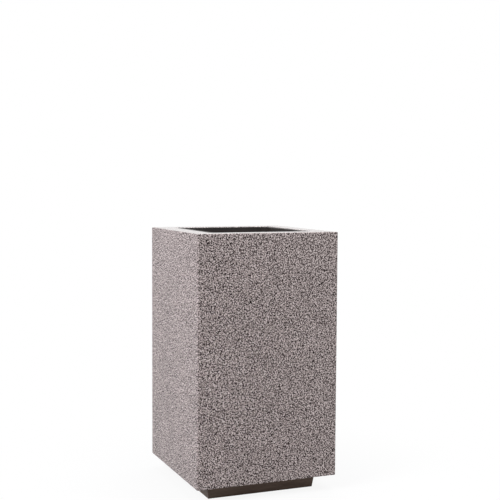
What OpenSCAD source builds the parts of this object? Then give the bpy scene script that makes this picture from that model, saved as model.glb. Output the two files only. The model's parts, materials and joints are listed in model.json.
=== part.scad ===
// Square planter box: a moulded granite-effect shell on a recessed plinth, with levelling feet
// and a lift-out liner. Millimetres, +Z up, origin on the ground under the middle of the box.

/* [Shell] */
// Outside width of the square body
body_w = 450; // [430:5:600]
// Height of the body above its plinth
body_h = 747; // [650:1:1000]
// Thickness of the moulded walls
wall_t = 8; // [6:0.5:10]
// Radius of the outside edges and corners
edge_r = 4; // [2:0.5:6]
// Radius of the cavity's inside corners
cavity_r = 10; // [6:1:16]

/* [Rim] */
// Width of the flat rim round the opening
rim_w = 60; // [50:1:75]
// Thickness of the rim
rim_t = 12; // [10:0.5:16]
// Radius of the opening's corners
opening_r = 12; // [8:1:16]
// Width of the chamfer along the opening's edge
rim_chamfer = 1.5; // [0.5:0.5:2.5]
// Width of the step that carries the liner's flange
seat_w = 14; // [12:0.5:18]
// Depth of that step below the rim
seat_d = 5; // [4:0.5:7]
// Height of the turned-down lip, from the rim's top
lip_h = 40; // [30:1:60]
// Thickness of the turned-down lip
lip_t = 6; // [4:0.5:8]

/* [Base] */
// Thickness of the base panel
base_t = 18; // [15:1:24]
// Gap between the base panel and the shell's walls
base_gap = 0.5; // [0.3:0.1:1]
// Width of the ledge that the base panel is screwed up to
ledge_w = 20; // [18:1:26]
// Thickness of that ledge
ledge_t = 10; // [9:1:14]
// Distance between the ground-anchor holes
anchor_pitch = 180; // [150:5:190]
// Diameter of the ground-anchor holes
anchor_hole_d = 13; // [9:1:17]
// Diameter of the drain hole in the base panel
base_drain_d = 40; // [25:1:60]
// Shank diameter of the base screws
base_screw_d = 5; // [4:0.5:6]
// Head diameter of the base screws
base_screw_head_d = 10; // [8:0.5:12]
// How far the base screws reach into the ledge
base_screw_bite = 6; // [4:0.5:7]
// Distance between the two base screws on each side
base_screw_pitch = 240; // [160:5:300]

/* [Plinth] */
// Height of the plinth
plinth_h = 46; // [44:1:60]
// How far the plinth's top is set in from the body
plinth_inset = 48; // [35:1:55]
// How much further the plinth's foot is set in
plinth_undercut = 6.5; // [3:0.5:10]
// Thickness of the plinth's walls
plinth_t = 5; // [4:0.5:7]
// Thickness of the plinth's top flange
plinth_flange_t = 5; // [4:0.5:7]
// Width of the plinth's top flange, inside its wall
plinth_flange_w = 28; // [26:1:34]
// Shank diameter of the plinth screws
plinth_screw_d = 8; // [6:1:8]
// Distance between the two plinth screws on each side
plinth_screw_pitch = 130; // [100:5:150]
// How far the plinth screws reach into the base panel
plinth_screw_bite = 13; // [10:1:14]

/* [Levelling feet] */
// How far the feet stand below the plinth when screwed in
foot_proud = 2; // [1:0.5:4]
// Diameter of the rubber pads
pad_d = 40; // [34:1:44]
// Thickness of the rubber pads
pad_t = 6; // [5:0.5:7]
// Diameter of the steel disc on each pad
disc_d = 30; // [24:1:32]
// Thickness of the steel disc
disc_t = 3; // [2:0.5:3]
// Diameter of the threaded stems
stem_d = 10; // [8:1:12]
// Length of the stems above their discs
stem_l = 34; // [31:1:36]
// Distance of a foot's axis from the plinth's outside at its top
foot_inset = 40; // [38:1:44]
// Thickness of the corner plates that carry the feet
foot_plate_t = 6; // [5:1:8]
// Height of the corner plates above the plinth's foot
foot_plate_z = 17; // [16:1:18]
// Thickness of the locknuts
locknut_t = 6; // [5:0.5:6.5]

/* [Liner] */
// Depth of the liner below its flange
liner_depth = 380; // [300:5:480]
// Thickness of the liner's walls
liner_t = 4; // [3:0.5:5]
// Thickness of the liner's floor
floor_t = 5; // [4:0.5:7]
// Thickness of the liner's flange
liner_flange_t = 4; // [3:0.5:4]
// How much each liner wall leans in from top to bottom
liner_taper = 13; // [8:1:18]
// Corner radius of the liner at its top
liner_r = 24; // [23:1:30]
// Gap between the liner and the rim's step, all round
liner_gap = 2; // [1:0.5:3]
// Width of the outside ribs
rib_w = 4; // [3:0.5:6]
// How far the outside ribs stand out
rib_out = 3; // [2:0.5:3]
// Distance between neighbouring ribs
rib_pitch = 70; // [50:5:80]
// Height of the liner's four standing feet
liner_foot_h = 16; // [14:1:22]
// Diameter of the liner's standing feet
liner_foot_d = 26; // [20:1:32]

/* [Drain fitting] */
// Outside diameter of the drain bush
bush_d = 30; // [28:1:36]
// Bore of the drain bush
bush_bore_d = 24; // [20:1:24]
// Diameter of the bush's flange
bush_flange_d = 44; // [42:1:50]
// Thickness of the bush's flange
bush_flange_t = 3; // [2:0.5:4]
// Thickness of the seal under the flange
seal_t = 2; // [1.5:0.5:3]
// Thickness of the drain nut
drain_nut_t = 7; // [6:0.5:8]
// Width of the drain nut across its flats
drain_nut_af = 42; // [40:1:46]
// Thickness of the stopper's head
stopper_head_t = 4; // [3:0.5:5]
// Length of the stopper's shank
stopper_shank_l = 14; // [10:1:16]
// Radius of the stopper's pull ring
pull_ring_r = 7; // [6:0.5:8]

/* [Drainage grate] */
// Height of the grate above the liner's floor
reservoir_h = 52; // [48:1:60]
// Thickness of the grate's plate
grate_t = 3; // [2.5:0.5:4]
// Gap between the grate and the liner's walls
grate_gap = 3; // [2:0.5:4]
// Height of the grate's turned-down edge
grate_edge_h = 10; // [8:1:14]
// Corner radius of the grate
grate_r = 14; // [12:1:16]
// Outside diameter of the grate's legs
grate_leg_d = 24; // [20:1:28]
// Bore of the grate's legs
grate_leg_bore_d = 16; // [12:1:17]
// Length of the drainage slots
slot_l = 40; // [30:1:42]
// Width of the drainage slots
slot_w = 5; // [4:0.5:6]
// Distance between rows of slots
slot_row_pitch = 14; // [12:0.5:15]
// Distance between columns of slots
slot_col_pitch = 52; // [48:1:54]
// Rows of slots
slot_rows = 15; // [9:2:15]
// Columns of slots
slot_cols = 4; // [2:1:4]

/* [Lifting handles] */
// Depth of the handles' axis below the liner's flange
handle_z = 24; // [20:1:40]
// Distance of the handles' axis from the liner's wall
handle_off = 6; // [5.5:0.5:7]
// Diameter of the handle rod
handle_d = 6; // [5:0.5:6]
// Width of a handle between the middles of its legs
handle_w = 110; // [80:5:130]
// Length of a handle below its axis
handle_drop = 46; // [36:1:60]
// Bend radius of a handle's lower corners
handle_bend_r = 12; // [8:1:16]
// Thickness of the brackets' sheet
bracket_t = 2; // [1.5:0.5:2]
// Height of the brackets
bracket_h = 28; // [24:1:32]
// Thickness of the brackets' ears
ear_t = 2.5; // [2:0.5:3]
// Diameter of the rivets
rivet_d = 5; // [4:0.5:6]

/* [Hidden] */
$fn = 48;

GRANITE = [0.58, 0.54, 0.54];
LAMINATE = [0.52, 0.50, 0.46];
DARK_BROWN = [0.24, 0.20, 0.18];
DARK_LINER = [0.15, 0.14, 0.14];
ZINC = [0.72, 0.73, 0.75];
RUBBER = [0.09, 0.09, 0.09];

// Cuts run this far past the faces that they open.
over = 1;
// Screw holes run this far past the tips of their screws.
hole_room = 1;
// Radial clearance of screws in their holes, and of stems in their nuts.
screw_fit = 0.1;
// Radial running clearance of the handles' ends in their ears.
pin_fit = 0.08;
// Radial clearance of the stopper in its bush.
stopper_fit = 0.3;
// Clearance of the grate past the handles' ears on its way out.
grate_pass = 1;
// Gap between the handles' legs and their ears.
ear_gap = 0.4;
// Metal left round the holes in the ears.
ear_rim = 2.5;
// How far the handles' ends stand out past their ears.
pin_proud = 2;
// The throat's corners are this much tighter than the opening's.
throat_r_drop = 2;
// How far the plinth's corner plates reach inwards past the feet's axes.
foot_plate_reach = 28;

// Levels of the assembly, from the ground up.
plinth_z = foot_proud;
body_z = plinth_z + plinth_h;
top_z = body_z + body_h;
seat_z = top_z - seat_d;
ledge_z = body_z + base_t;
plate_z = plinth_z + foot_plate_z;
disc_z = pad_t;
stem_z = disc_z + disc_t;
liner_bottom_z = seat_z - liner_depth;
liner_floor_z = liner_bottom_z + floor_t;
grate_z = liner_floor_z + reservoir_h;
axis_z = seat_z - handle_z;

// Widths of the shell, its opening and its step.
cavity_w = body_w - 2 * wall_t;
opening_w = body_w - 2 * rim_w;
throat_w = opening_w - 2 * seat_w;
throat_r = opening_r - throat_r_drop;

// Half widths of the plinth at its top, and where its pieces sit.
plinth_top_half = body_w / 2 - plinth_inset;
plinth_screw_at = plinth_top_half - plinth_t - plinth_flange_w / 2;
foot_at = plinth_top_half - foot_inset;
foot_plate_in = foot_at - foot_plate_reach;
base_screw_at = cavity_w / 2 - base_gap - (ledge_w - base_gap) / 2;
base_screw_cone = (base_screw_head_d - base_screw_d) / 2;

// The liner's walls lean in: half widths at a level, outside and inside.
liner_w = throat_w - 2 * liner_gap;
lean = atan(liner_taper / liner_depth);
function liner_out(z) = liner_w / 2 - liner_taper * (seat_z - z) / liner_depth;
function liner_in(z) = liner_out(z) - liner_t;

// The grate is as wide as its place in the liner, and passes the handles on its way out.
ear_reach = handle_off + handle_d / 2 + ear_rim;
grate_w = 2 * min(liner_in(grate_z - grate_edge_h) - grate_gap,
    liner_in(axis_z) - ear_reach - grate_pass);
grate_leg_at = grate_w / 2 - grate_edge_h - grate_leg_d / 2;

// Handle ears stand just outside the handle's legs.
ear_at = handle_w / 2 + handle_d / 2 + ear_gap;
pin_end = ear_at + ear_t + pin_proud;
bracket_w = 2 * (ear_at + ear_t);
rivet_at = handle_w / 4;
rivet_head_t = 1.2;
rivet_head_d = 1.8 * rivet_d;
rivet_head_step = 0.5;

// Sides and corners, as signs along X and Y.
SIDES = [-1, 1];

module rounded_square(w, r) {
    square([w, w - 2 * r], center = true);
    square([w - 2 * r, w], center = true);
    for (x = SIDES, y = SIDES)
        translate([x * (w / 2 - r), y * (w / 2 - r)]) circle(r);
}

module rounded_block(w, h, r) {
    linear_extrude(h) rounded_square(w, r);
}

module ring_block(w_out, w_in, h, r_out, r_in) {
    linear_extrude(h) difference() {
        rounded_square(w_out, r_out);
        rounded_square(w_in, r_in);
    }
}

// A block with its four upright edges and its top edges rounded by r.
module soft_top_block(w, h, r) {
    core = w - 2 * r;
    translate([-core / 2, -core / 2, 0]) cube([core, core, h]);
    rounded_block(w, h - r, r);
    for (turn = [0:90:270]) rotate([0, 0, turn]) translate([core / 2, 0, h - r]) {
        rotate([90, 0, 0]) cylinder(h = core, r = r, center = true);
        translate([0, core / 2, 0]) sphere(r);
    }
}

// A square block whose walls lean in towards its bottom, with conical corners.
module leaning_block(w_top, taper, h, r_top) {
    reach = w_top / 2;
    mid = reach - r_top;
    for (turn = [0, 90]) rotate([90, 0, turn]) linear_extrude(2 * mid, center = true)
        polygon([[-reach, h], [reach, h], [reach - taper, 0], [taper - reach, 0]]);
    for (x = SIDES, y = SIDES)
        translate([x * mid, y * mid, 0]) cylinder(h = h, r1 = r_top - taper, r2 = r_top);
}

// A square block with plane leaning walls and sharp corners.
module skirt_block(half_top, undercut, h) {
    intersection_for(turn = [0, 90]) rotate([90, 0, turn])
        linear_extrude(2 * half_top, center = true)
            polygon([[-half_top, h], [half_top, h], [half_top - undercut, 0], [undercut - half_top, 0]]);
}

module at_corners(reach) {
    for (x = SIDES, y = SIDES) translate([x * reach, y * reach, 0]) children();
}

// Two places on each side of a square, pitch apart.
module at_side_pairs(reach, pitch) {
    for (turn = [0:90:270], y = SIDES)
        rotate([0, 0, turn]) translate([reach, y * pitch / 2, 0]) children();
}

module outer_shell() {
    color(GRANITE) difference() {
        union() {
            difference() {
                translate([0, 0, body_z]) soft_top_block(body_w, body_h, edge_r);
                translate([0, 0, body_z - over])
                    rounded_block(cavity_w, body_h - rim_t + over, cavity_r);
            }
            translate([0, 0, top_z - lip_h])
                ring_block(throat_w + 2 * lip_t, throat_w - over, lip_h - rim_t + over,
                    throat_r + lip_t, throat_r);
            translate([0, 0, ledge_z])
                ring_block(cavity_w + wall_t, cavity_w - 2 * ledge_w, ledge_t, cavity_r, cavity_r);
        }
        translate([0, 0, top_z - lip_h - over])
            rounded_block(throat_w, lip_h + 2 * over, throat_r);
        translate([0, 0, seat_z]) rounded_block(opening_w, seat_d + over, opening_r);
        translate([0, 0, top_z - rim_chamfer])
            leaning_block(opening_w + 4 * rim_chamfer, 2 * rim_chamfer, 2 * rim_chamfer,
                opening_r + 2 * rim_chamfer);
        translate([0, 0, ledge_z - over]) at_side_pairs(base_screw_at, base_screw_pitch)
            cylinder(h = over + base_screw_bite + hole_room, d = base_screw_d + 2 * screw_fit);
    }
}

module base_panel() {
    panel_w = cavity_w - 2 * base_gap;
    color(LAMINATE) difference() {
        translate([0, 0, body_z]) rounded_block(panel_w, base_t, cavity_r);
        translate([0, 0, body_z - over]) {
            at_corners(anchor_pitch / 2) cylinder(h = base_t + 2 * over, d = anchor_hole_d);
            cylinder(h = base_t + 2 * over, d = base_drain_d);
            at_side_pairs(base_screw_at, base_screw_pitch)
                cylinder(h = base_t + 2 * over, d = base_screw_d + 2 * screw_fit);
            at_side_pairs(plinth_screw_at, plinth_screw_pitch)
                cylinder(h = over + plinth_screw_bite + hole_room, d = plinth_screw_d + 2 * screw_fit);
        }
        translate([0, 0, body_z]) at_side_pairs(base_screw_at, base_screw_pitch)
            cylinder(h = base_screw_cone + screw_fit, d1 = base_screw_head_d + 2 * screw_fit,
                d2 = base_screw_d);
    }
}

module base_screws() {
    socket_d = base_screw_d / 2;
    color(ZINC) translate([0, 0, body_z]) at_side_pairs(base_screw_at, base_screw_pitch)
        difference() {
            union() {
                cylinder(h = base_screw_cone, d1 = base_screw_head_d, d2 = base_screw_d);
                cylinder(h = base_t + base_screw_bite, d = base_screw_d);
            }
            translate([0, 0, -over]) cylinder(h = over + base_screw_cone, d = socket_d, $fn = 6);
        }
}

module plinth() {
    color(DARK_BROWN) difference() {
        union() {
            difference() {
                translate([0, 0, plinth_z]) skirt_block(plinth_top_half, plinth_undercut, plinth_h);
                translate([0, 0, plinth_z])
                    skirt_block(plinth_top_half - plinth_t, plinth_undercut, plinth_h);
            }
            translate([0, 0, body_z - plinth_flange_t]) linear_extrude(plinth_flange_t) difference() {
                square(2 * plinth_top_half - plinth_t, center = true);
                square(2 * (plinth_top_half - plinth_t - plinth_flange_w), center = true);
            }
            intersection() {
                translate([0, 0, plinth_z])
                    skirt_block(plinth_top_half - plinth_t / 2, plinth_undercut, plinth_h);
                translate([0, 0, plate_z]) at_corners(foot_plate_in + plinth_top_half / 2)
                    translate([0, 0, foot_plate_t / 2])
                        cube([plinth_top_half, plinth_top_half, foot_plate_t], center = true);
            }
        }
        at_corners(foot_at) translate([0, 0, plate_z - over])
            cylinder(h = foot_plate_t + 2 * over, d = insert_d);
        translate([0, 0, body_z - plinth_flange_t - over])
            at_side_pairs(plinth_screw_at, plinth_screw_pitch)
                cylinder(h = plinth_flange_t + 2 * over, d = plinth_screw_d + 2 * screw_fit);
    }
}

// Washers are standard: twice the screw's diameter across, and a fifth of it thick.
washer_t = plinth_screw_d / 5;
washer_z = body_z - plinth_flange_t - washer_t;

module plinth_washers() {
    color(ZINC) translate([0, 0, washer_z]) at_side_pairs(plinth_screw_at, plinth_screw_pitch)
        difference() {
            cylinder(h = washer_t, d = 2 * plinth_screw_d);
            translate([0, 0, -over])
                cylinder(h = washer_t + 2 * over, d = plinth_screw_d + 2 * screw_fit);
        }
}

// Cap heads go by the screw's diameter too, as does the hexagon socket in them.
module plinth_screws() {
    head_t = 0.6 * plinth_screw_d;
    head_d = 1.6 * plinth_screw_d;
    socket_d = 0.7 * plinth_screw_d;
    color(ZINC) translate([0, 0, washer_z]) at_side_pairs(plinth_screw_at, plinth_screw_pitch) {
        difference() {
            translate([0, 0, -head_t]) cylinder(h = head_t, d = head_d);
            translate([0, 0, -head_t - over])
                cylinder(h = over + head_t / 2, d = socket_d, $fn = 6);
        }
        cylinder(h = washer_t + plinth_flange_t + plinth_screw_bite, d = plinth_screw_d);
    }
}

// Threaded bushes in the corner plates.
insert_wall_t = 3;
insert_flange_w = 4;
insert_flange_t = 2;
insert_d = stem_d + 2 * insert_wall_t;

module foot_inserts() {
    color(ZINC) at_corners(foot_at) difference() {
        union() {
            translate([0, 0, plate_z]) cylinder(h = foot_plate_t, d = insert_d);
            translate([0, 0, plate_z + foot_plate_t])
                cylinder(h = insert_flange_t, d = insert_d + 2 * insert_flange_w);
        }
        translate([0, 0, plate_z - over])
            cylinder(h = foot_plate_t + insert_flange_t + 2 * over, d = stem_d + 2 * screw_fit);
    }
}

// Hexagon nuts are 1.7 times their thread's diameter across the flats.
module foot_locknuts() {
    nut_corner_d = 1.7 * stem_d / cos(30);
    color(ZINC) at_corners(foot_at) translate([0, 0, plate_z - locknut_t]) difference() {
        cylinder(h = locknut_t, d = nut_corner_d, $fn = 6);
        translate([0, 0, -over])
            cylinder(h = locknut_t + 2 * over, d = stem_d + 2 * screw_fit);
    }
}

module foot_stem(side_x, side_y) {
    tip = 1;
    color(ZINC) translate([side_x * foot_at, side_y * foot_at, 0]) {
        translate([0, 0, disc_z]) cylinder(h = disc_t, d = disc_d);
        translate([0, 0, stem_z]) cylinder(h = stem_l - tip, d = stem_d);
        translate([0, 0, stem_z + stem_l - tip]) cylinder(h = tip, d1 = stem_d, d2 = stem_d - 2 * tip);
    }
}

module foot_pad(side_x, side_y) {
    chamfer = 1.5;
    color(RUBBER) translate([side_x * foot_at, side_y * foot_at, 0]) rotate_extrude()
        polygon([
            [0, 0], [pad_d / 2 - chamfer / 2, 0], [pad_d / 2, chamfer / 2],
            [pad_d / 2, pad_t - chamfer], [pad_d / 2 - chamfer, pad_t], [0, pad_t]
        ]);
}

// Ribs follow the lean of the liner's walls, and start below the rim's lip.
module liner_ribs() {
    rib_room = 20;
    rib_top = lip_h + rib_room;
    intersection() {
        translate([0, 0, liner_bottom_z])
            leaning_block(liner_w + 2 * rib_out, liner_taper, liner_depth, liner_r + rib_out);
        for (turn = [0, 90], place = [-1:1]) rotate([0, 0, turn])
            translate([place * rib_pitch - rib_w / 2, -liner_w / 2 - rib_out, liner_bottom_z])
                cube([rib_w, liner_w + 2 * rib_out, liner_depth - rib_top]);
    }
}

module liner_pot() {
    flange_gap = 1;
    foot_reach = liner_out(liner_bottom_z) - liner_r;
    color(DARK_LINER) difference() {
        union() {
            translate([0, 0, liner_bottom_z]) leaning_block(liner_w, liner_taper, liner_depth, liner_r);
            translate([0, 0, seat_z])
                rounded_block(opening_w - 2 * flange_gap, liner_flange_t, opening_r - flange_gap);
            liner_ribs();
            at_corners(foot_reach) translate([0, 0, liner_bottom_z - liner_foot_h])
                cylinder(h = liner_foot_h + over, d = liner_foot_d);
        }
        translate([0, 0, liner_floor_z])
            leaning_block(2 * liner_in(seat_z), liner_in(seat_z) - liner_in(liner_floor_z),
                seat_z - liner_floor_z, liner_r - liner_t);
        translate([0, 0, seat_z - over / 2])
            rounded_block(2 * liner_in(seat_z), liner_flange_t + over, liner_r - liner_t);
        translate([0, 0, liner_bottom_z - over]) cylinder(h = floor_t + 2 * over, d = bush_d);
        for (side = SIDES) on_liner_wall(side) at_rivets()
            translate([-liner_t, 0, 0]) rotate([0, 90, 0]) cylinder(h = 3 * liner_t, d = rivet_d);
    }
}

module drain_seal() {
    seal_inset = 1;
    color(RUBBER) translate([0, 0, liner_floor_z]) difference() {
        cylinder(h = seal_t, d = bush_flange_d - 2 * seal_inset);
        translate([0, 0, -over]) cylinder(h = seal_t + 2 * over, d = bush_d);
    }
}

module drain_bush() {
    bush_proud = 3;
    bush_flange_z = liner_floor_z + seal_t;
    bush_bottom_z = liner_bottom_z - drain_nut_t - bush_proud;
    color(DARK_BROWN) difference() {
        union() {
            translate([0, 0, bush_bottom_z]) cylinder(h = bush_flange_z - bush_bottom_z, d = bush_d);
            translate([0, 0, bush_flange_z]) cylinder(h = bush_flange_t, d = bush_flange_d);
        }
        translate([0, 0, bush_bottom_z - over])
            cylinder(h = bush_flange_z - bush_bottom_z + bush_flange_t + 2 * over, d = bush_bore_d);
    }
}

module drain_nut() {
    color(DARK_BROWN) translate([0, 0, liner_bottom_z - drain_nut_t]) difference() {
        cylinder(h = drain_nut_t, d = drain_nut_af / cos(30), $fn = 6);
        translate([0, 0, -over]) cylinder(h = drain_nut_t + 2 * over, d = bush_d);
    }
}

module drain_stopper() {
    head_z = liner_floor_z + seal_t + bush_flange_t;
    head_reach = 5;
    ring_wire_r = 1.8;
    ring_sink = 0.5;
    color(RUBBER) translate([0, 0, head_z]) {
        cylinder(h = stopper_head_t, d = bush_bore_d + 2 * head_reach);
        translate([0, 0, -stopper_shank_l])
            cylinder(h = stopper_shank_l, d = bush_bore_d - 2 * stopper_fit);
        translate([0, 0, stopper_head_t + pull_ring_r - ring_sink]) rotate([90, 0, 0])
            rotate_extrude() translate([pull_ring_r, 0]) circle(ring_wire_r);
    }
}

// The frame of a handle's place on a liner wall: -X points into the liner, +Z up along the wall.
module on_liner_wall(side) {
    mirror([side < 0 ? 1 : 0, 0, 0]) translate([liner_in(axis_z), 0, axis_z])
        rotate([0, lean, 0]) children();
}

module at_rivets() {
    for (y = SIDES) translate([0, y * rivet_at, 0]) children();
}

module handle_bracket(side) {
    ear_r = ear_reach - handle_off;
    color(ZINC) on_liner_wall(side) difference() {
        union() {
            translate([-bracket_t, -bracket_w / 2, -bracket_h / 2])
                cube([bracket_t, bracket_w, bracket_h]);
            for (y = SIDES) translate([0, y * (ear_at + ear_t / 2), 0]) {
                translate([-handle_off, 0, 0]) rotate([90, 0, 0])
                    cylinder(h = ear_t, r = ear_r, center = true);
                translate([-handle_off / 2, 0, 0])
                    cube([handle_off, ear_t, 2 * ear_r], center = true);
            }
        }
        translate([-handle_off, 0, 0]) rotate([90, 0, 0])
            cylinder(h = bracket_w + 2 * over, r = handle_d / 2 + pin_fit, center = true);
        at_rivets() translate([-bracket_t - over, 0, 0]) rotate([0, 90, 0])
            cylinder(h = bracket_t + 2 * over, d = rivet_d);
    }
}

module bracket_rivets() {
    skin = liner_t * cos(lean);
    blind_head_d = rivet_head_d - 2 * rivet_head_step;
    color(ZINC) for (side = SIDES) on_liner_wall(side) at_rivets() rotate([0, 90, 0]) {
        translate([0, 0, -bracket_t - rivet_head_t]) cylinder(h = rivet_head_t, d = rivet_head_d);
        translate([0, 0, -bracket_t]) cylinder(h = bracket_t + skin, d = rivet_d);
        translate([0, 0, skin]) cylinder(h = rivet_head_t / 2, d = blind_head_d);
    }
}

module lift_handle(side) {
    pivot_x = liner_in(axis_z) - handle_off * cos(lean);
    pivot_z = axis_z + handle_off * sin(lean);
    rod_r = handle_d / 2;
    leg_l = handle_drop - handle_bend_r;
    color(ZINC) mirror([side < 0 ? 1 : 0, 0, 0]) translate([pivot_x, 0, pivot_z]) {
        for (y = SIDES) mirror([0, y < 0 ? 1 : 0, 0]) {
            translate([0, handle_w / 2, 0]) sphere(rod_r);
            translate([0, handle_w / 2, 0]) rotate([-90, 0, 0])
                cylinder(h = pin_end - handle_w / 2, r = rod_r);
            translate([0, handle_w / 2, -leg_l]) cylinder(h = leg_l, r = rod_r);
            translate([0, handle_w / 2 - handle_bend_r, -leg_l]) rotate([0, 90, 0])
                rotate_extrude(angle = 90) translate([handle_bend_r, 0]) circle(rod_r);
        }
        translate([0, 0, -handle_drop]) rotate([90, 0, 0])
            cylinder(h = handle_w - 2 * handle_bend_r, r = rod_r, center = true);
    }
}

module slot() {
    square([slot_l - slot_w, slot_w], center = true);
    for (x = SIDES) translate([x * (slot_l - slot_w) / 2, 0]) circle(d = slot_w);
}

module drainage_grate() {
    last_row = (slot_rows - 1) / 2;
    last_col = (slot_cols - 1) / 2;
    color(DARK_LINER) difference() {
        union() {
            translate([0, 0, grate_z]) linear_extrude(grate_t) difference() {
                rounded_square(grate_w, grate_r);
                for (row = [-last_row:last_row], col = [-last_col:last_col])
                    translate([col * slot_col_pitch, row * slot_row_pitch]) slot();
            }
            translate([0, 0, grate_z - grate_edge_h])
                ring_block(grate_w, grate_w - 2 * grate_t, grate_edge_h, grate_r, grate_r - grate_t);
            at_corners(grate_leg_at) translate([0, 0, liner_floor_z])
                cylinder(h = reservoir_h, d = grate_leg_d);
        }
        at_corners(grate_leg_at) translate([0, 0, liner_floor_z - over])
            cylinder(h = reservoir_h + over, d = grate_leg_bore_d);
    }
}

outer_shell();
base_panel();
base_screws();
plinth();
plinth_screws();
plinth_washers();
foot_inserts();
foot_locknuts();
foot_stem(-1, -1);  // foot_stem_front_left
foot_stem(1, -1);  // foot_stem_front_right
foot_stem(-1, 1);  // foot_stem_rear_left
foot_stem(1, 1);  // foot_stem_rear_right
foot_pad(-1, -1);  // foot_pad_front_left
foot_pad(1, -1);  // foot_pad_front_right
foot_pad(-1, 1);  // foot_pad_rear_left
foot_pad(1, 1);  // foot_pad_rear_right
liner_pot();
drain_seal();
drain_bush();
drain_nut();
drain_stopper();
handle_bracket(-1);  // handle_bracket_left
handle_bracket(1);  // handle_bracket_right
bracket_rivets();
lift_handle(-1);  // lift_handle_left
lift_handle(1);  // lift_handle_right
drainage_grate();
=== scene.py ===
import json
import math

import bmesh
import bpy
from mathutils import Matrix, Vector

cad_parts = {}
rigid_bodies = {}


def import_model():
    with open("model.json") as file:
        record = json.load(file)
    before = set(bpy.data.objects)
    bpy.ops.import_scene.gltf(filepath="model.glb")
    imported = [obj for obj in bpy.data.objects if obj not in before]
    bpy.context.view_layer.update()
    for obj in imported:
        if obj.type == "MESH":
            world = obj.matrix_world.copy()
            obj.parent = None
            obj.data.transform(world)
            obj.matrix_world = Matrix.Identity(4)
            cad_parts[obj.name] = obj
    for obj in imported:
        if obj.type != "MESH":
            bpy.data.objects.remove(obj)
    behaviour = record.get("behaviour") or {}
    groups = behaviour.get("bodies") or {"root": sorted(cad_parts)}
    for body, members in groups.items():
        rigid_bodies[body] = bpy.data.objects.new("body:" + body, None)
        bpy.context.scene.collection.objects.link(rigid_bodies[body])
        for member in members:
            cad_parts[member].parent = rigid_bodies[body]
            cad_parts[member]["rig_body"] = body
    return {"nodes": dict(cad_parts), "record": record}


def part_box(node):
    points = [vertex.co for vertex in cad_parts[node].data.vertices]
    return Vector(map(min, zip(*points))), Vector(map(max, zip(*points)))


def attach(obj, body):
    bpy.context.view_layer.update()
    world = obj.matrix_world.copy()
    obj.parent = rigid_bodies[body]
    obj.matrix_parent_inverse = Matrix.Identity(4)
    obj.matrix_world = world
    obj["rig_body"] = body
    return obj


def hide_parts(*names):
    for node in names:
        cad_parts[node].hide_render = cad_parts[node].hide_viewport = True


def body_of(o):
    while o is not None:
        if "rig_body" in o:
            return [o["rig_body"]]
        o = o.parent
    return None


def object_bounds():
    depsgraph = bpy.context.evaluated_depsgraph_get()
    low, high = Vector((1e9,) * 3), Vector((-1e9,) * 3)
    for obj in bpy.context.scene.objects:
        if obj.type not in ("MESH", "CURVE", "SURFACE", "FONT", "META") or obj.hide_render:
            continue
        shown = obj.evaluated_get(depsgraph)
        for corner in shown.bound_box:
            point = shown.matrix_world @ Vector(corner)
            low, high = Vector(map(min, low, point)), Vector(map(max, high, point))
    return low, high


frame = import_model()
CAD_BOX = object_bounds()

# ---------------------------------------------------------------- sizes, in metres, from the frame

MM = 0.001
SHELL_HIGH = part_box("outer_shell")[1]
BODY_HALF = SHELL_HIGH.x
RIM_TOP = SHELL_HIGH.z


# ---------------------------------------------------------------- nodes

WHITE = (1.0, 1.0, 1.0, 1.0)

# Noise lies between these two values nearly everywhere.
NOISE_LOW = 0.3
NOISE_HIGH = 0.7

# Sockets of the Mix node, as numbered when it mixes colours.
MIX_SHARE = 0
MIX_FIRST = 6
MIX_SECOND = 7
MIX_RESULT = 2


def srgb(red, green, blue):
    """A colour written in 0 to 255 sRGB, as the linear colour that a shader takes."""
    def linear(value):
        value /= 255
        return value / 12.92 if value <= 0.04045 else ((value + 0.055) / 1.055) ** 2.4
    return (linear(red), linear(green), linear(blue), 1.0)


def feed(tree, socket, value):
    """Links an output to the socket, or gives the socket a plain value."""
    if isinstance(value, bpy.types.NodeSocket):
        tree.links.new(value, socket)
    else:
        socket.default_value = value


def add_node(tree, kind, feeds=None, **settings):
    """A new node. Its settings come first, because they decide which sockets it has."""
    made = tree.nodes.new(kind)
    for key, value in settings.items():
        setattr(made, key, value)
    for key, value in (feeds or {}).items():
        feed(tree, made.inputs[key], value)
    return made


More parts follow.
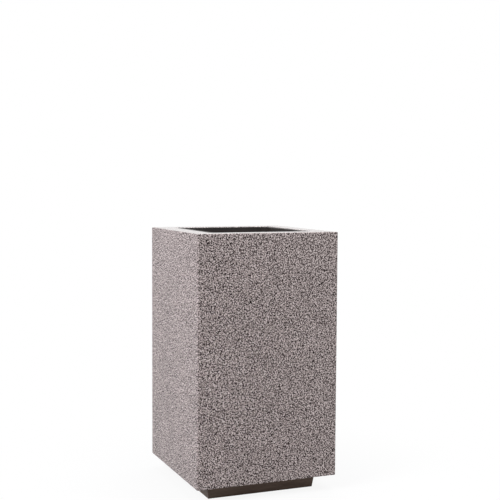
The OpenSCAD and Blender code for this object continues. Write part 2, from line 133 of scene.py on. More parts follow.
class Shader:
    """A node material in the making. Lengths are in metres, and scales in repeats a metre."""

    def __init__(self, name, metallic=0.0, specular=0.5):
        self.material = bpy.data.materials.new(name)
        self.material.use_nodes = True
        self.tree = self.material.node_tree
        self.surface = self.tree.nodes["Principled BSDF"]
        self.set_plain({"Metallic": metallic, "Specular IOR Level": specular})
        source = self.node("ShaderNodeTexCoord")
        self.place = source.outputs["Object"]
        self.facing = source.outputs["Normal"]

    def set_plain(self, values):
        """Values that are the same all over the surface."""
        for name, value in values.items():
            self.surface.inputs[name].default_value = value

    def node(self, kind, feeds=None, **settings):
        """A new node of this material."""
        return add_node(self.tree, kind, feeds, **settings)

    def noise(self, scale, detail=3.0, rough=0.5, at=None, flat=False):
        """Cloudy noise. Flat noise leaves out the third axis."""
        feeds = {"Vector": at or self.place, "Scale": scale, "Detail": detail, "Roughness": rough}
        made = self.node("ShaderNodeTexNoise", feeds, noise_dimensions="2D" if flat else "3D")
        return made.outputs["Fac"]

    def cells(self, scale, at=None, flat=False):
        """The Voronoi node itself: Color is one for each cell, and Distance is from a cell's middle."""
        feeds = {"Vector": at or self.place, "Scale": scale}
        return self.node("ShaderNodeTexVoronoi", feeds, voronoi_dimensions="2D" if flat else "3D")

    def ramp(self, value, stops):
        """A colour for each value, from stops of a value and its colour or its grey."""
        made = self.node("ShaderNodeValToRGB", {"Fac": value})
        marks = made.color_ramp.elements
        while len(marks) < len(stops):
            marks.new(0.5)
        for mark, (place, colour) in zip(marks, stops):
            mark.position = place
            mark.color = colour if isinstance(colour, tuple) else (colour, colour, colour, 1.0)
        return made.outputs["Color"]

    def tint(self, noise, first, second):
        """A colour that wanders between two with the noise."""
        return self.ramp(noise, [(NOISE_LOW, first), (NOISE_HIGH, second)])

    def mix(self, first, second, share):
        """First where the share is 0, and second where it is 1."""
        feeds = {MIX_SHARE: share, MIX_FIRST: first, MIX_SECOND: second}
        return self.node("ShaderNodeMix", feeds, data_type="RGBA").outputs[MIX_RESULT]

    def work_out(self, operation, first, second=0.0, third=None):
        """The result of one Math node."""
        feeds = {0: first, 1: second}
        if third is not None:
            feeds[2] = third
        return self.node("ShaderNodeMath", feeds, operation=operation).outputs[0]

    def pick(self, chosen, first, second):
        """As mix, for numbers."""
        return self.work_out("MULTIPLY_ADD", chosen, self.work_out("SUBTRACT", second, first), first)

    def add_layer(self, under, layer, gain):
        """The value under, raised or lowered by how far the layer is from its middle."""
        return self.work_out("MULTIPLY_ADD", self.work_out("SUBTRACT", layer, 0.5), gain, under)

    def span(self, value, low, high, out_low=0.0, out_high=1.0):
        """The value with low to high laid onto out_low to out_high, and held within them."""
        feeds = {"Value": value, "From Min": low, "From Max": high, "To Min": out_low, "To Max": out_high}
        return self.node("ShaderNodeMapRange", feeds, clamp=True).outputs["Result"]

    def vary(self, noise, least, most):
        """A number that wanders between two with the noise."""
        return self.span(noise, NOISE_LOW, NOISE_HIGH, least, most)

    def axes(self, at=None):
        """The three parts of a place, a direction or a colour."""
        made = self.node("ShaderNodeSeparateXYZ", {"Vector": at or self.place})
        return made.outputs["X"], made.outputs["Y"], made.outputs["Z"]

    def stretch(self, scale, turn=(0.0, 0.0, 0.0), at=None):
        """The place, turned first and then scaled along each axis."""
        turned = self.node("ShaderNodeMapping", {"Vector": at or self.place, "Rotation": turn})
        feeds = {"Vector": turned.outputs["Vector"], "Scale": scale}
        return self.node("ShaderNodeMapping", feeds).outputs["Vector"]

    def work_out_vector(self, operation, first, feeds):
        """The result of one Vector Math node."""
        made = self.node("ShaderNodeVectorMath", {0: first, **feeds}, operation=operation)
        return made.outputs["Vector"]

    def jitter(self, scale, reach, at=None):
        """The place, shaken by noise of that scale, up to reach metres each way."""
        source = at or self.place
        shake = self.node("ShaderNodeTexNoise", {"Vector": source, "Scale": scale, "Detail": 2.0})
        centred = self.work_out_vector("SUBTRACT", shake.outputs["Color"], {1: (0.5, 0.5, 0.5)})
        sized = self.work_out_vector("SCALE", centred, {"Scale": 2 * reach})
        return self.work_out_vector("ADD", source, {1: sized})

    def bump(self, height, distance, strength=1.0, under=None):
        """A normal that follows the height, on top of the normal under it."""
        feeds = {"Height": height, "Distance": distance, "Strength": strength}
        if under is not None:
            feeds["Normal"] = under
        return self.node("ShaderNodeBump", feeds).outputs["Normal"]

    def finish(self, colour, rough, normal):
        """The material, with what its surface is fed."""
        for name, value in (("Base Color", colour), ("Roughness", rough), ("Normal", normal)):
            feed(self.tree, self.surface.inputs[name], value)
        return self.material


# ---------------------------------------------------------------- the body's coat and laminate

def flat_place(shader):
    """The body laid out flat, so that no wall or edge stretches or mirrors a pattern.

    The walls follow each other from the front, and the top goes on over the front's upper edge.
    """
    x, y, z = shader.axes()
    facing = shader.axes(shader.facing)
    face_x, face_y, face_z = (shader.work_out("ABSOLUTE", part) for part in facing)
    on_side = shader.work_out("GREATER_THAN", face_x, shader.work_out("MAXIMUM", face_y, face_z))
    on_top = shader.work_out("GREATER_THAN", face_z, shader.work_out("MAXIMUM", face_x, face_y))
    on_rear = shader.work_out("GREATER_THAN", facing[1], 0.0)
    rear_along = shader.work_out("SUBTRACT", 4 * BODY_HALF, x)
    from_front = shader.work_out("ADD", y, 2 * BODY_HALF)
    side_along = shader.work_out("MULTIPLY", shader.work_out("SIGN", facing[0]), from_front)
    along = shader.pick(on_rear, x, rear_along)
    along = shader.pick(on_side, along, side_along)
    along = shader.pick(on_top, along, x)
    up = shader.pick(on_top, z, shader.work_out("ADD", y, RIM_TOP + BODY_HALF))
    return shader.node("ShaderNodeCombineXYZ", {"X": along, "Y": up}).outputs["Vector"]


# Glass strands: the ways they lie, their pitch, their width as a share of their length, how they are
# shaken, and how far from its middle, in pitches, a strand begins to give way to resin and ends.
STRAND_TURNS = (0.2, 0.95, 1.75, 2.5)
STRAND_PITCH = 3.6 * MM
STRAND_STRETCH = 0.07
STRAND_SHAKE = 2.5 * MM
STRAND_SHAKE_SCALE = 25.0
STRAND_CORE = 0.08
STRAND_EDGE = 0.32


def laminate_colour(shader, flat):
    """Resin over a mat of chopped glass strands that lie every way in the plane of the sheet."""
    shaken = shader.jitter(STRAND_SHAKE_SCALE, STRAND_SHAKE, flat)
    nearest = None
    for turn in STRAND_TURNS:
        at = shader.stretch((1.0, STRAND_STRETCH, 1.0), turn=(0.0, 0.0, turn), at=shaken)
        layer = shader.cells(1 / STRAND_PITCH, at, flat=True).outputs["Distance"]
        nearest = layer if nearest is None else shader.work_out("MINIMUM", nearest, layer)
    strands = shader.span(nearest, STRAND_CORE, STRAND_EDGE, 1.0, 0.0)
    cloud = shader.noise(14.0, detail=4.0)
    resin = shader.tint(cloud, srgb(118, 112, 97), srgb(140, 134, 117))
    glass = shader.tint(cloud, srgb(158, 152, 135), srgb(184, 178, 160))
    return shader.mix(resin, glass, strands), strands


# The granite pattern: soft blotches, small chips, and dark specks strewn over both.
BLOTCH_PITCH = 3.8 * MM
BLOTCH_TURNS = (0.35, 1.15)
BLOTCH_SHAKE_SCALE = 300.0
BLOTCH_GAIN = 0.95
CHIP_PITCH = 1.7 * MM
CHIP_SHAKE = 0.2 * MM
CHIP_SHAKE_SCALE = 500.0
CHIP_GAIN = 0.75
SPECK_PITCH = 5.2 * MM
SPECK_RADIUS = 2.2 * MM
SPECK_SHAKE = 0.8 * MM
SPECK_SHAKE_SCALE = 350.0
SPECK_DEPTH = 0.5
SPECK_EDGE_LOW = -0.03
SPECK_EDGE_HIGH = 0.06
# Cells whose random number is below this hold no speck.
SPECK_LEAST = 0.35
COAT_TONES = [(0.0, srgb(14, 11, 10)), (0.25, srgb(56, 47, 46)), (0.5, srgb(137, 126, 124)),
              (0.75, srgb(175, 164, 161)), (1.0, srgb(197, 187, 184))]

# How far in from the outer walls and down from the rim the coat is sprayed, and how ragged it ends.
SPRAY_IN = 5 * MM
SPRAY_DOWN = 9 * MM
SPRAY_RAGGED = 2 * MM

CLEAR_COAT = {"Coat Weight": 1.0, "Coat Roughness": 0.06, "Coat IOR": 1.12}


def granite_tone(shader, flat):
    """How pale the pattern is, from 0 to 1."""
    tone = 0.5
    shaken = shader.jitter(BLOTCH_SHAKE_SCALE, CHIP_SHAKE, flat)
    for turn in BLOTCH_TURNS:
        place = shader.stretch((1, 1, 1), (0, 0, turn), shaken)
        blotches = shader.noise(1 / BLOTCH_PITCH, detail=0.0, at=place, flat=True)
        tone = shader.add_layer(tone, blotches, BLOTCH_GAIN)
    chips = shader.cells(1 / CHIP_PITCH, shader.jitter(CHIP_SHAKE_SCALE, CHIP_SHAKE, flat), flat=True)
    tone = shader.add_layer(tone, shader.axes(chips.outputs["Color"])[0], CHIP_GAIN)
    specks = shader.cells(1 / SPECK_PITCH, shader.jitter(SPECK_SHAKE_SCALE, SPECK_SHAKE, flat), flat=True)
    chance = shader.axes(specks.outputs["Color"])[0]
    radius = shader.span(chance, SPECK_LEAST, 1.0, 0.0, SPECK_RADIUS / SPECK_PITCH)
    inside = shader.work_out("SUBTRACT", radius, specks.outputs["Distance"])
    darker = shader.span(inside, SPECK_EDGE_LOW, SPECK_EDGE_HIGH, 0.0, SPECK_DEPTH)
    return shader.work_out("SUBTRACT", tone, darker)


def unsprayed(shader):
    """1 on the hidden faces that the coat doesn't reach, with a ragged edge."""
    x, y, z = shader.axes()
    out = shader.work_out("MAXIMUM", shader.work_out("ABSOLUTE", x), shader.work_out("ABSOLUTE", y))
    ragged = shader.vary(shader.noise(700.0, detail=2.0), -SPRAY_RAGGED, SPRAY_RAGGED)
    inside = shader.work_out("LESS_THAN", shader.work_out("ADD", out, ragged), BODY_HALF - SPRAY_IN)
    below = shader.work_out("LESS_THAN", shader.work_out("ADD", z, ragged), RIM_TOP - SPRAY_DOWN)
    return shader.work_out("MULTIPLY", inside, below)


def granite_effect():
    """Sprayed granite-effect coat under a clear one, and raw laminate where no coat is."""
    shader = Shader("granite_effect_coat", specular=0.0)
    flat = flat_place(shader)
    tone = granite_tone(shader, flat)
    cloud = shader.vary(shader.noise(9.0, detail=4.0), 0.95, 1.05)
    coat = shader.work_out_vector("SCALE", shader.ramp(tone, COAT_TONES), {"Scale": cloud})
    raw = laminate_colour(shader, flat)[0]
    colour = shader.mix(coat, raw, unsprayed(shader))
    waves = shader.bump(shader.noise(90.0, detail=2.0), 0.6 * MM, 0.25)
    normal = shader.bump(tone, 0.3 * MM, 0.25, waves)
    shader.set_plain(CLEAR_COAT)
    return shader.finish(colour, shader.span(tone, 0.0, 1.0, 0.45, 0.62), normal)


def plain_laminate():
    """Raw glass laminate, as the base panel has it: strands that stand up a little from the resin."""
    shader = Shader("raw_laminate", specular=0.4)
    colour, strands = laminate_colour(shader, flat_place(shader))
    normal = shader.bump(strands, 0.3 * MM, 0.5, shader.bump(shader.noise(60.0), 1 * MM, 0.3))
    return shader.finish(colour, shader.vary(shader.noise(40.0), 0.4, 0.65), normal)


# ---------------------------------------------------------------- the other materials

def plinth_brown():
    """Dark brown satin coat with an orange-peel skin and faint drawn marks along its length."""
    shader = Shader("plinth_brown_coat", specular=0.1)
    grain = shader.noise(40.0, 5.0, 0.6, shader.stretch((0.25, 0.25, 2.5)))
    colour = shader.ramp(grain, [(0.25, srgb(77, 63, 56)), (0.75, srgb(102, 87, 78))])
    dust = shader.ramp(shader.noise(900.0, detail=2.0), [(0.62, 0.0), (0.8, 0.35)])
    colour = shader.mix(colour, srgb(107, 95, 87), dust)
    drawn = shader.bump(grain, 0.4 * MM, 0.15)
    normal = shader.bump(shader.noise(420.0, detail=2.0), 0.3 * MM, 0.3, drawn)
    return shader.finish(colour, shader.vary(shader.noise(25.0, detail=4.0), 0.48, 0.62), normal)


def liner_plastic():
    """Moulded dark plastic with a fine spark-eroded grain, upright scuffs and faint flow marks."""
    shader = Shader("liner_plastic", specular=0.45)
    cloud = shader.noise(11.0, 5.0, 0.6)
    colour = shader.tint(cloud, srgb(29, 25, 24), srgb(39, 35, 33))
    scuffs = shader.noise(60.0, 6.0, 0.7, shader.stretch((1.0, 1.0, 0.12)))
    colour = shader.mix(colour, srgb(74, 68, 64), shader.ramp(scuffs, [(0.6, 0.0), (0.78, 0.5)]))
    grain = shader.cells(1400.0, shader.jitter(900.0, 0.3 * MM)).outputs["Distance"]
    normal = shader.bump(grain, 0.12 * MM, 0.5, shader.bump(cloud, 1.5 * MM, 0.12))
    return shader.finish(colour, shader.vary(shader.noise(30.0, detail=4.0), 0.42, 0.62), normal)


# Radians of the lathe marks' wave in a metre: one mark every 0.7 mm.
LATHE_WAVE = 9000.0


def fitting_plastic():
    """Turned dark plastic: fine rings about the fitting's upright axis."""
    shader = Shader("fitting_plastic", specular=0.5)
    squares = [shader.work_out("MULTIPLY", part, part) for part in shader.axes()[:2]]
    radius = shader.work_out("POWER", shader.work_out("ADD", *squares), 0.5)
    rings = shader.work_out("SINE", shader.work_out("MULTIPLY", radius, LATHE_WAVE))
    colour = shader.tint(shader.noise(50.0, detail=4.0), srgb(52, 44, 40), srgb(70, 61, 55))
    normal = shader.bump(rings, 0.05 * MM, 0.35, shader.bump(shader.noise(300.0), 0.2 * MM, 0.2))
    return shader.finish(colour, shader.vary(shader.noise(90.0), 0.3, 0.48), normal)


def zinc_steel():
    """Zinc-plated steel: soft spangle, drawn lines and a little white bloom."""
    shader = Shader("zinc_steel", metallic=1.0)
    spangle = shader.axes(shader.cells(300.0, shader.jitter(150.0, 2 * MM)).outputs["Color"])[0]
    colour = shader.ramp(spangle, [(0.0, srgb(178, 182, 187)), (1.0, srgb(200, 203, 207))])
    bloom = shader.ramp(shader.noise(70.0, 5.0, 0.65), [(0.56, 0.0), (0.75, 0.5)])
    colour = shader.mix(colour, srgb(222, 223, 220), bloom)
    drawn = shader.noise(500.0, at=shader.stretch((1.0, 0.06, 1.0)))
    dents = shader.bump(shader.noise(160.0, detail=2.0), 0.2 * MM, 0.15)
    normal = shader.bump(drawn, 0.06 * MM, 0.3, dents)
    return shader.finish(colour, shader.span(spangle, 0.0, 1.0, 0.3, 0.38), normal)


def black_rubber():
    """Matt black rubber with a fine grain and a film of dust."""
    shader = Shader("black_rubber", specular=0.3)
    colour = shader.tint(shader.noise(60.0, 5.0, 0.6), srgb(28, 28, 29), srgb(46, 45, 45))
    dust = shader.ramp(shader.noise(800.0, detail=2.0), [(0.6, 0.0), (0.85, 0.5)])
    colour = shader.mix(colour, srgb(88, 85, 82), dust)
    normal = shader.bump(shader.noise(1500.0, detail=2.0), 0.15 * MM, 0.5)
    return shader.finish(colour, shader.vary(shader.noise(80.0), 0.65, 0.85), normal)


MATERIALS = {
    "granite_effect": granite_effect(),
    "raw_laminate": plain_laminate(),
    "plinth_brown": plinth_brown(),
    "liner_plastic": liner_plastic(),
    "fitting_plastic": fitting_plastic(),
    "zinc_steel": zinc_steel(),
    "black_rubber": black_rubber(),
}

SLOTS = {entry["node"]: entry["material_slot"] for entry in frame["record"]["subparts"]}


def dress(thing, slot):
    """Gives a piece the material of a slot."""
    thing.data.materials.clear()
    thing.data.materials.append(MATERIALS[slot])


for name, thing in frame["nodes"].items():
    dress(thing, SLOTS[name])


# ---------------------------------------------------------------- turned and threaded meshes

ROUND_STEPS = 36
SHARP_ANGLE = math.radians(35)

# Threads: how fine the rings are, and the depth and the flat of crest and root in pitches.
ROWS_PER_TURN = 6
THREAD_DEPTH = 0.6
THREAD_FLAT = 0.125

# Hexagon nuts: the round face as a share of the width over the flats, the chamfer, and the bore's bevel.
HEX_TURN = math.radians(60)
NUT_FACE_SHARE = 0.95
NUT_CHAMFER_SLOPE = math.tan(HEX_TURN)
NUT_CHAMFER_STEPS = (0.0, 0.25, 0.5, 0.75, 1.0)
NUT_BEVEL = 0.5 * MM


def clamp(value, low, high):
    """The value, held between low and high."""
    return max(low, min(high, value))


def ring(height, radius):
    """One turn of points about the upright axis. The radius is a number, or a function of the angle."""
    points = []
    for step in range(ROUND_STEPS):
        angle = math.tau * step / ROUND_STEPS
        reach = radius(angle) if callable(radius) else radius
        points.append(Vector((reach * math.cos(angle), reach * math.sin(angle), height)))
    return points


def turned(profile):
    """The rings of a turned shape, from pairs of a height and a radius."""
    return [ring(height, radius) for height, radius in profile]


def skin(rings, hollow=False):
    """Points and faces of a skin drawn over rings: closed with end caps, or round a bore if hollow."""
    points = [point for each in rings for point in each]
    faces = []
    for row in range(len(rings) if hollow else len(rings) - 1):
        here, there = row * ROUND_STEPS, (row + 1) % len(rings) * ROUND_STEPS
        for step in range(ROUND_STEPS):
            after = (step + 1) % ROUND_STEPS
            faces.append((here + step, here + after, there + after, there + step))
    if not hollow:
        faces.append(tuple(reversed(range(ROUND_STEPS))))
        faces.append(tuple(range(len(points) - ROUND_STEPS, len(points))))
    return points, faces


def thread(low, high, crest, pitch):
    """Rings of a right-hand thread that fades out at both of its ends."""
    rows = round((high - low) / pitch * ROWS_PER_TURN)
    rings = []
    for row in range(rows + 1):
        height = low + (high - low) * row / rows
        fade = clamp(min(height - low, high - height) / pitch, 0, 1)

        def radius(angle, height=height, fade=fade):
            phase = (height / pitch - angle / math.tau) % 1
            fall = (abs(2 * phase - 1) - THREAD_FLAT) / (1 - 2 * THREAD_FLAT)
            return crest - fade * THREAD_DEPTH * pitch * clamp(fall, 0, 1)

        rings.append(ring(height, radius))
    return rings


def hexagon_nut(low, high, corner, bore):
    """Rings of a hexagon nut, chamfered to a round face at both ends."""
    flat = corner * math.cos(HEX_TURN / 2)
    face = NUT_FACE_SHARE * flat
    chamfer = (corner - face) / NUT_CHAMFER_SLOPE

    def outline(depth):
        return lambda angle: min(flat / math.cos(angle % HEX_TURN - HEX_TURN / 2),
                                 face + depth * NUT_CHAMFER_SLOPE)

    depths = [chamfer * share for share in NUT_CHAMFER_STEPS]
    rings = [ring(low + depth, outline(depth)) for depth in depths]
    rings += [ring(high - depth, outline(depth)) for depth in reversed(depths)]
    rings += turned([(high, bore + NUT_BEVEL), (high - NUT_BEVEL, bore),
                     (low + NUT_BEVEL, bore), (low, bore + NUT_BEVEL)])
    return rings


def make_piece(name, node, solids):
    """One mesh of closed solids, each given as points and faces, that stands for a CAD node."""
    points, faces = [], []
    for solid_points, solid_faces in solids:
        first = len(points)
        points += solid_points
        faces += [tuple(first + corner for corner in face) for face in solid_faces]
    mesh = bpy.data.meshes.new(name)
    mesh.from_pydata(points, [], faces)
    mesh.shade_smooth()
    mesh.set_sharp_from_angle(angle=SHARP_ANGLE)
    piece = bpy.data.objects.new(name, mesh)
    bpy.context.scene.collection.objects.link(piece)
    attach(piece, body_of(frame["nodes"][node])[0])
    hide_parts(node)
    dress(piece, SLOTS[node])


def moved(solid, offset):
    """A solid's points and faces, shifted by the offset."""
    points, faces = solid
    return [point + offset for point in points], faces


# ---------------------------------------------------------------- levelling feet

CORNERS = ("front_left", "front_right", "rear_left", "rear_right")
STEM_RADIUS = 5 * MM
STEM_BORE = 5.1 * MM
STEM_PITCH = 1.5 * MM
STEM_NECK = 3 * MM
STEM_TIP = 1 * MM
DISC_DEPTH = 3 * MM
TURNED_EDGE = 0.8 * MM


def foot_axis(corner):
    """The middle of a foot, seen from above."""
    low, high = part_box("foot_pad_" + corner)
    return Vector(((low.x + high.x) / 2, (low.y + high.y) / 2, 0))


def make_stem(corner):
    """A foot's disc and the threaded stem on it, with a plain neck and a chamfered tip."""
    low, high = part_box("foot_stem_" + corner)
    disc = (high.x - low.x) / 2
    disc_top, edge = low.z + DISC_DEPTH, TURNED_EDGE
    rings = turned([(low.z, disc - edge / 2), (low.z + edge / 2, disc),
                    (disc_top - edge, disc), (disc_top, disc - edge),
                    (disc_top, STEM_RADIUS + edge), (disc_top + edge, STEM_RADIUS)])
    rings += thread(disc_top + STEM_NECK, high.z - STEM_TIP, STEM_RADIUS, STEM_PITCH)
    rings.append(ring(high.z, STEM_RADIUS - STEM_TIP))
    make_piece("threaded_stem_" + corner, "foot_stem_" + corner, [moved(skin(rings), foot_axis(corner))])


def make_locknuts():
    """The four locknuts, one on each foot."""
    low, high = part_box("foot_locknuts")
    reach = high.x - foot_axis("front_right").x
    nut = skin(hexagon_nut(low.z, high.z, reach, STEM_BORE), hollow=True)
    make_piece("chamfered_locknuts", "foot_locknuts", [moved(nut, foot_axis(corner)) for corner in CORNERS])


# ---------------------------------------------------------------- drain fitting

BUSH_RADIUS = 15 * MM
BUSH_BORE = 12 * MM
BUSH_PITCH = 2 * MM
BUSH_FLANGE_DEPTH = 3 * MM


def make_drain_nut():
    """The nut that draws the bush down onto its seal."""
    low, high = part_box("drain_nut")
    nut = skin(hexagon_nut(low.z, high.z, high.x, BUSH_RADIUS), hollow=True)
    make_piece("chamfered_drain_nut", "drain_nut", [nut])


def make_drain_bush():
    """The flanged bush, threaded from its lower end up to the top of its nut."""
    low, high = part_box("drain_bush")
    flange, edge = high.x, TURNED_EDGE
    flange_low = high.z - BUSH_FLANGE_DEPTH
    rings = [ring(low.z, BUSH_RADIUS - edge)]
    rings += thread(low.z + edge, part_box("drain_nut")[1].z, BUSH_RADIUS, BUSH_PITCH)
    rings += turned([(flange_low, BUSH_RADIUS), (flange_low, flange), (high.z - 1.5 * edge, flange),
                     (high.z - edge / 2, flange - edge / 2), (high.z, flange - 2 * edge),
                     (high.z, BUSH_BORE + edge), (high.z - edge, BUSH_BORE),
                     (low.z + edge, BUSH_BORE), (low.z, BUSH_BORE + edge)])
    make_piece("threaded_drain_bush", "drain_bush", [skin(rings, hollow=True)])


# ---------------------------------------------------------------- rivets

# The liner's walls draw in by its taper over its depth, and the rivets stand square to them.
LINER_TAPER = 13 * MM
LINER_DEPTH = 380 * MM
LINER_LEAN = math.atan2(LINER_TAPER, LINER_DEPTH)

RIVET_RADIUS = 2.5 * MM
RIVET_HEAD_RADIUS = 4.5 * MM
RIVET_HEAD_DEPTH = 1.2 * MM
RIVET_DOME_SHARE = 0.8
DOME_STEPS = 5
RIVET_TAIL_RADIUS = 4 * MM
RIVET_TAIL_EDGE = 0.3 * MM
RIVET_TAIL_BEVEL = 0.5 * MM
RIVET_PIN_RADIUS = 1.4 * MM
RIVET_PIN_EDGE = 0.3 * MM
RIVET_PIN_SINK = 0.4 * MM
RIVET_PIN_RIM = 0.05 * MM

# Points closer than SAME_POINT are one, and an end face's points lie within SAME_FACE along the axis.
SAME_POINT = 0.001 * MM
SAME_FACE = 0.1 * MM


def islands(thing):
    """The points of each separate solid in a node."""
    mesh = bmesh.new()
    mesh.from_mesh(thing.data)
    bmesh.ops.remove_doubles(mesh, verts=mesh.verts, dist=SAME_POINT)
    groups, seen = [], set()
    for start in mesh.verts:
        if start in seen:
            continue
        seen.add(start)
        group, reach = [], [start]
        while reach:
            vertex = reach.pop()
            group.append(vertex.co.copy())
            near = [edge.other_vert(vertex) for edge in vertex.link_edges]
            fresh = [other for other in near if other not in seen]
            seen.update(fresh)
            reach += fresh
        groups.append(group)
    mesh.free()
    return groups


def rivet_skin(length):
    """A blind rivet along the upright axis, from its domed head with the pulled pin's mark to its tail."""
    dome_depth = RIVET_DOME_SHARE * RIVET_HEAD_DEPTH
    dome_width = RIVET_HEAD_RADIUS - RIVET_PIN_RADIUS
    profile = [(RIVET_PIN_SINK, RIVET_PIN_RADIUS - RIVET_PIN_EDGE), (RIVET_PIN_RIM, RIVET_PIN_RADIUS)]
    for step in range(1, DOME_STEPS + 1):
        turn = math.pi / 2 * step / DOME_STEPS
        profile.append((dome_depth * (1 - math.cos(turn)), RIVET_PIN_RADIUS + dome_width * math.sin(turn)))
    tail = length - RIVET_HEAD_DEPTH / 2
    profile += [(RIVET_HEAD_DEPTH, RIVET_HEAD_RADIUS), (RIVET_HEAD_DEPTH, RIVET_RADIUS),
                (tail, RIVET_RADIUS), (tail, RIVET_TAIL_RADIUS),
                (length - RIVET_TAIL_EDGE, RIVET_TAIL_RADIUS),
                (length, RIVET_TAIL_RADIUS - RIVET_TAIL_BEVEL)]
    return skin(turned(profile))


def make_rivets():
    """A blind rivet for each solid of the node, set on the middle of its inner end face."""
    solids = []
    for points in islands(frame["nodes"]["bracket_rivets"]):
        side = math.copysign(1, points[0].x)
        axis = Vector((side * math.cos(LINER_LEAN), 0, -math.sin(LINER_LEAN)))
        along = [point.dot(axis) for point in points]
        start = min(along)
        face = [point for point, place in zip(points, along) if place < start + SAME_FACE]
        centre = sum(face, Vector()) / len(face)
        place = Matrix.Translation(centre) @ axis.to_track_quat("Z", "Y").to_matrix().to_4x4()
        rivet_points, rivet_faces = rivet_skin(max(along) - start)
        solids.append(([place @ point for point in rivet_points], rivet_faces))
    make_piece("domed_rivets", "bracket_rivets", solids)


for foot_corner in CORNERS:
    make_stem(foot_corner)
make_locknuts()
make_drain_nut()
make_drain_bush()
make_rivets()


# ---------------------------------------------------------------- floor and world

# The kinds of ray that show the floor and the world as a picture does, and not as light.
SCREEN_RAYS = ("Is Camera Ray", "Is Glossy Ray")

# To those rays the floor is white from FLOOR_FAR outwards. Within FLOOR_NEAR it is FLOOR_WHITE
# white, and for the rest it shows its own light and shadow.
FLOOR_REACH = 30.0
FLOOR_COLOUR = (0.62, 0.62, 0.62, 1.0)
FLOOR_NEAR = 0.3
FLOOR_FAR = 0.9
FLOOR_WHITE = 0.9

WORLD_FILL = 0.44
WORLD_COLOUR = (0.97, 0.98, 1.0, 1.0)


def ray_share(tree, rays):
    """1 for the rays named, and 0 for all others."""
    path = add_node(tree, "ShaderNodeLightPath")
    share = path.outputs[rays[0]]
    for ray in rays[1:]:
        either = add_node(tree, "ShaderNodeMath", {0: share, 1: path.outputs[ray]}, operation="MAXIMUM")
        share = either.outputs[0]
    return share


def floor_white():
    """White to the camera and to mirrors, and a plain colour to everything else."""
    material = bpy.data.materials.new("studio_floor")
    material.use_nodes = True
    tree = material.node_tree
    tree.nodes.clear()
    place = add_node(tree, "ShaderNodeTexCoord").outputs["Object"]
    distance = add_node(tree, "ShaderNodeVectorMath", {0: place}, operation="LENGTH").outputs["Value"]
    feeds = {"Value": distance, "From Min": FLOOR_NEAR, "From Max": FLOOR_FAR, "To Min": FLOOR_WHITE}
    fade = add_node(tree, "ShaderNodeMapRange", feeds, interpolation_type="SMOOTHSTEP").outputs["Result"]
    feeds = {0: fade, 1: ray_share(tree, SCREEN_RAYS)}
    share = add_node(tree, "ShaderNodeMath", feeds, operation="MULTIPLY")
    lit = add_node(tree, "ShaderNodeBsdfDiffuse", {"Color": FLOOR_COLOUR})
    glow = add_node(tree, "ShaderNodeEmission", {"Color": WHITE, "Strength": 1.0})
    feeds = {0: share.outputs[0], 1: lit.outputs[0], 2: glow.outputs[0]}
    mixed = add_node(tree, "ShaderNodeMixShader", feeds)
    add_node(tree, "ShaderNodeOutputMaterial", {"Surface": mixed.outputs[0]})
    return material


def make_floor():
    """A floor under the whole view, level with the lowest point of the object."""
    mesh = bpy.data.meshes.new("studio_floor")
    corners = [(-FLOOR_REACH, -FLOOR_REACH, 0), (FLOOR_REACH, -FLOOR_REACH, 0),
               (FLOOR_REACH, FLOOR_REACH, 0), (-FLOOR_REACH, FLOOR_REACH, 0)]
    mesh.from_pydata(corners, [], [(0, 1, 2, 3)])
    mesh.materials.append(floor_white())
    floor = bpy.data.objects.new("studio_floor", mesh)
    bpy.context.scene.collection.objects.link(floor)
    floor.location.z = CAD_BOX[0][2]


def make_world():
    """Even fill light that looks white itself."""
    world = bpy.data.worlds.new("studio")
    bpy.context.scene.world = world
    world.use_nodes = True
    tree = world.node_tree
    tree.nodes.clear()
    fill = add_node(tree, "ShaderNodeBackground", {"Color": WORLD_COLOUR, "Strength": WORLD_FILL})
    seen_white = add_node(tree, "ShaderNodeBackground", {"Color": WHITE})
    share = ray_share(tree, (*SCREEN_RAYS, "Is Transmission Ray"))
    mixed = add_node(tree, "ShaderNodeMixShader", {0: share, 1: fill.outputs[0], 2: seen_white.outputs[0]})
    add_node(tree, "ShaderNodeOutputWorld", {"Surface": mixed.outputs[0]})


# ---------------------------------------------------------------- lamps and camera

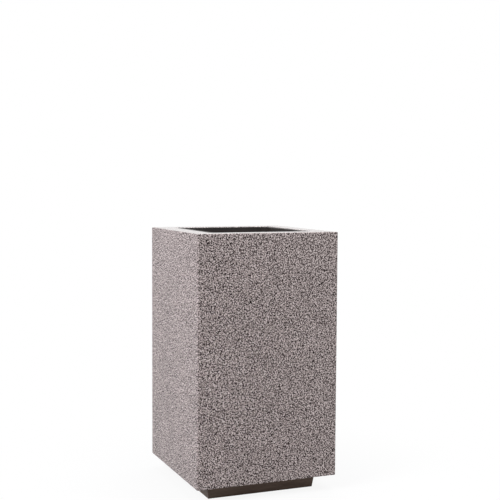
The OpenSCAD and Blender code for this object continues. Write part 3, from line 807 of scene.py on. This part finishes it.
# Softboxes: name, place, what each is aimed at, size in metres, watts, and colour.
SOFTBOXES = [
    ("key_left", (-3.0, -1.05, 2.6), (0.0, 0.0, 0.45), 1.8, 156.0, (1.0, 0.98, 1.03)),
    ("fill_front", (1.35, -1.1, 2.0), (0.0, 0.0, 0.7), 0.9, 24.0, (1.0, 1.0, 1.0)),
    ("top", (0.3, 0.5, 3.2), (0.0, 0.0, 0.8), 2.0, 65.0, (1.0, 1.0, 1.0)),
]

# The camera's place in metres, its angles in degrees, and its lens and sensor in millimetres.
CAMERA_PLACE = (-1.19146, -2.96705, 0.95034)
CAMERA_AZIMUTH = 22.36745
CAMERA_ELEVATION = 3.93935
CAMERA_ROLL = 0.30074
CAMERA_LENS = 73.315
CAMERA_SENSOR = 36.0


def look_along(forward):
    """The turn of a lamp or a camera, which look against their own Z axis."""
    return forward.to_track_quat("-Z", "Y")


def make_lamps():
    """The softboxes, which no glossy surface mirrors."""
    for name, place, aim, size, watts, colour in SOFTBOXES:
        data = bpy.data.lights.new(name, "AREA")
        data.energy = watts
        data.size = size
        data.color = colour
        lamp = bpy.data.objects.new(name, data)
        lamp.location = place
        lamp.rotation_euler = look_along(Vector(aim) - Vector(place)).to_euler()
        lamp.visible_glossy = False
        bpy.context.scene.collection.objects.link(lamp)


def make_camera():
    """The camera, which looks slightly down at the front and the left side."""
    azimuth, elevation = math.radians(CAMERA_AZIMUTH), math.radians(CAMERA_ELEVATION)
    forward = Vector((math.sin(azimuth) * math.cos(elevation),
                      math.cos(azimuth) * math.cos(elevation), -math.sin(elevation)))
    data = bpy.data.cameras.new("camera")
    data.lens = CAMERA_LENS
    data.sensor_width = CAMERA_SENSOR
    camera = bpy.data.objects.new("camera", data)
    turn = look_along(forward).to_matrix() @ Matrix.Rotation(math.radians(CAMERA_ROLL), 3, "Z")
    camera.matrix_world = Matrix.Translation(CAMERA_PLACE) @ turn.to_4x4()
    bpy.context.scene.collection.objects.link(camera)
    bpy.context.scene.camera = camera


make_floor()
make_world()
make_lamps()
make_camera()
bpy.context.scene.view_settings.view_transform = "Standard"
